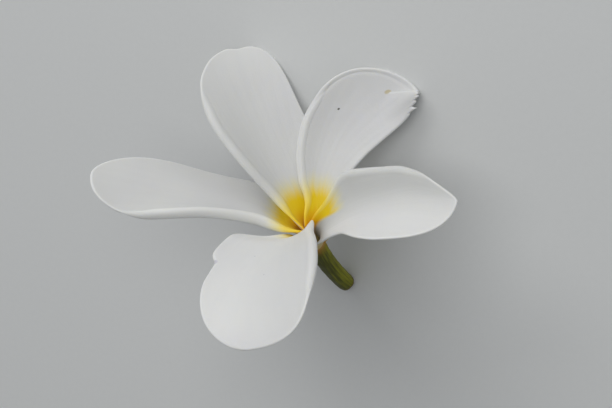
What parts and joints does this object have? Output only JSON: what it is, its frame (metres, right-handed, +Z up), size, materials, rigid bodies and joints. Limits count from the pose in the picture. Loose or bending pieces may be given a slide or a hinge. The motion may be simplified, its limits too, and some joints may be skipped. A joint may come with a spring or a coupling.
{
  "type": "frangipani flower",
  "caption": "White frangipani blossom with a yellow eye: broad overlapping petals spread from a slim, bent hollow tube, lying back on a flat surface.",
  "frame": {"origin": "middle of the bounding box on the surface the flower lies on", "axes": "+X to the right as seen in the picture, +Y away from the tube's lower end towards the back petals, +Z up; the flower's own axis leans back from +Z towards +Y"},
  "size_m": [0.0712, 0.0504, 0.0588],
  "materials": {
    "petal": "soft waxy white petal, golden yellow at the throat",
    "tube": "satin yellow-green plant tissue, orange-brown at the mouth"
  },
  "bodies": {
    "root": {"petal_left": "petal", "petal_back_left": "petal", "petal_back_right": "petal", "petal_right": "petal", "petal_front": "petal", "corolla_tube": "tube"}
  },
  "joints": []
}
